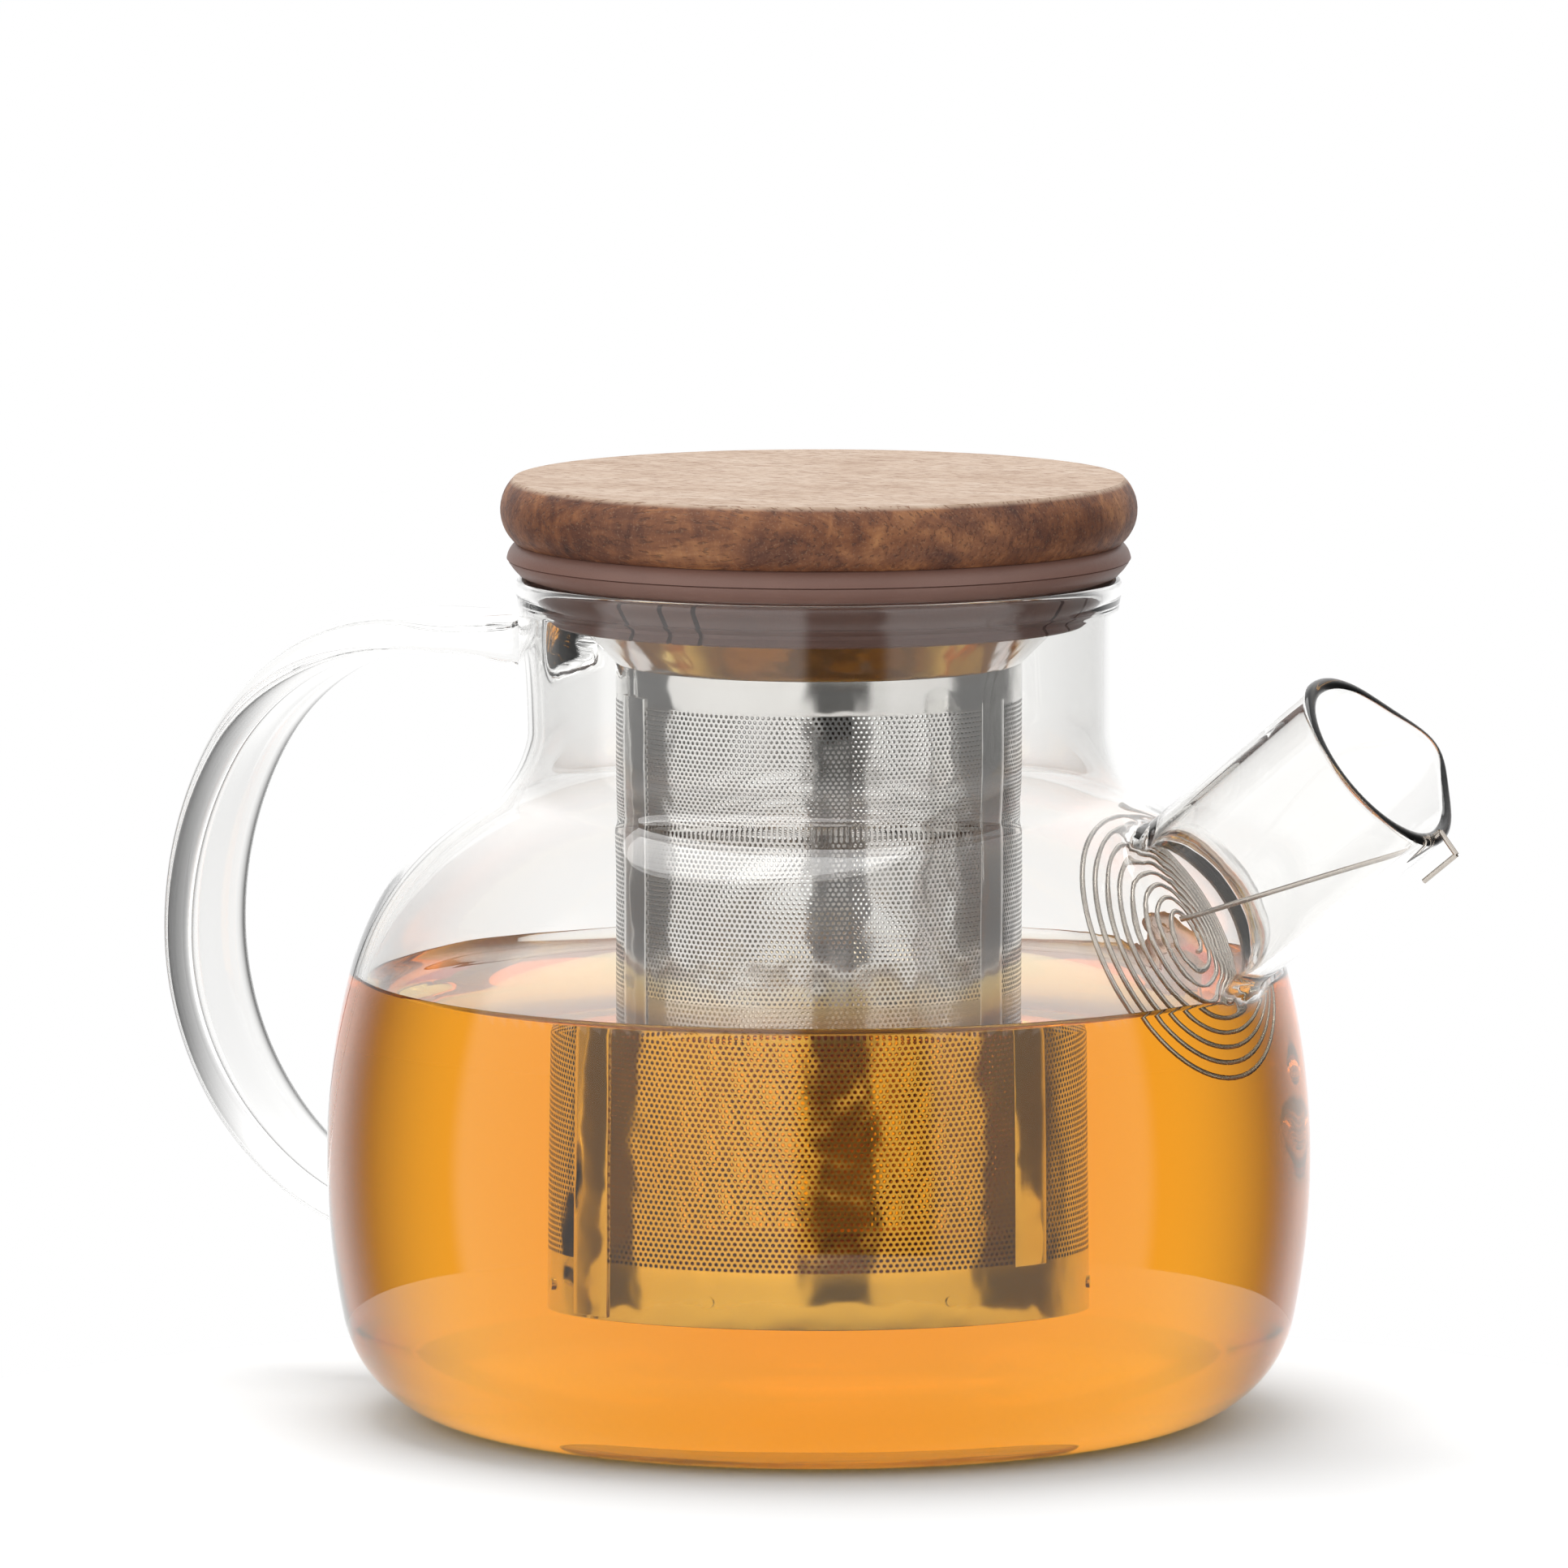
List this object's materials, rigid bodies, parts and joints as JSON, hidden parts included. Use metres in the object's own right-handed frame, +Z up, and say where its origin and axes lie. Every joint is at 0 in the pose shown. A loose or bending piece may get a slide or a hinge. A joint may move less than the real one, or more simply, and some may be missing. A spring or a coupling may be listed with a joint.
{
  "type": "glass teapot",
  "caption": "Clear glass teapot with a lift-out perforated steel infuser, wooden lid with silicone seals and a wire filter in the spout.",
  "frame": {"origin": "centre of the base, on the surface the teapot stands on", "axes": "+Z up, +X towards the spout, -X towards the handle"},
  "size_m": [0.2153, 0.1474, 0.141],
  "materials": {
    "clear_glass": "clear, fire polished",
    "polished_steel": "polished stainless sheet",
    "steel_wire": "bright drawn wire",
    "brown_silicone": "satin moulded silicone",
    "acacia_wood": "oiled side, sanded pale top"
  },
  "bodies": {
    "pot": {"glass_body": "clear_glass", "glass_spout": "clear_glass", "glass_handle": "clear_glass"},
    "infuser": {"infuser_wall": "polished_steel", "infuser_base": "polished_steel", "infuser_rim": "polished_steel", "infuser_welds": "polished_steel", "infuser_collar": "brown_silicone"},
    "lid": {"lid_disc": "acacia_wood", "lid_seal": "brown_silicone"},
    "filter": {"filter_stem": "steel_wire", "filter_coil": "steel_wire"}
  },
  "joints": [
    {"name": "infuser_lift", "type": "slide", "parent": "pot", "child": "infuser", "axis": [0, 0, 1], "range_m": [0, 0.112]},
    {"name": "lid_lift", "type": "slide", "parent": "infuser", "child": "lid", "axis": [0, 0, 1], "range_m": [0, 0.03]},
    {"name": "filter_pull", "type": "slide", "parent": "pot", "child": "filter", "axis": [0.9468, 0, 0.3218], "range_m": [0, 0.006], "stiffness_N_per_m": 150, "deforming": ["filter_coil"]}
  ]
}
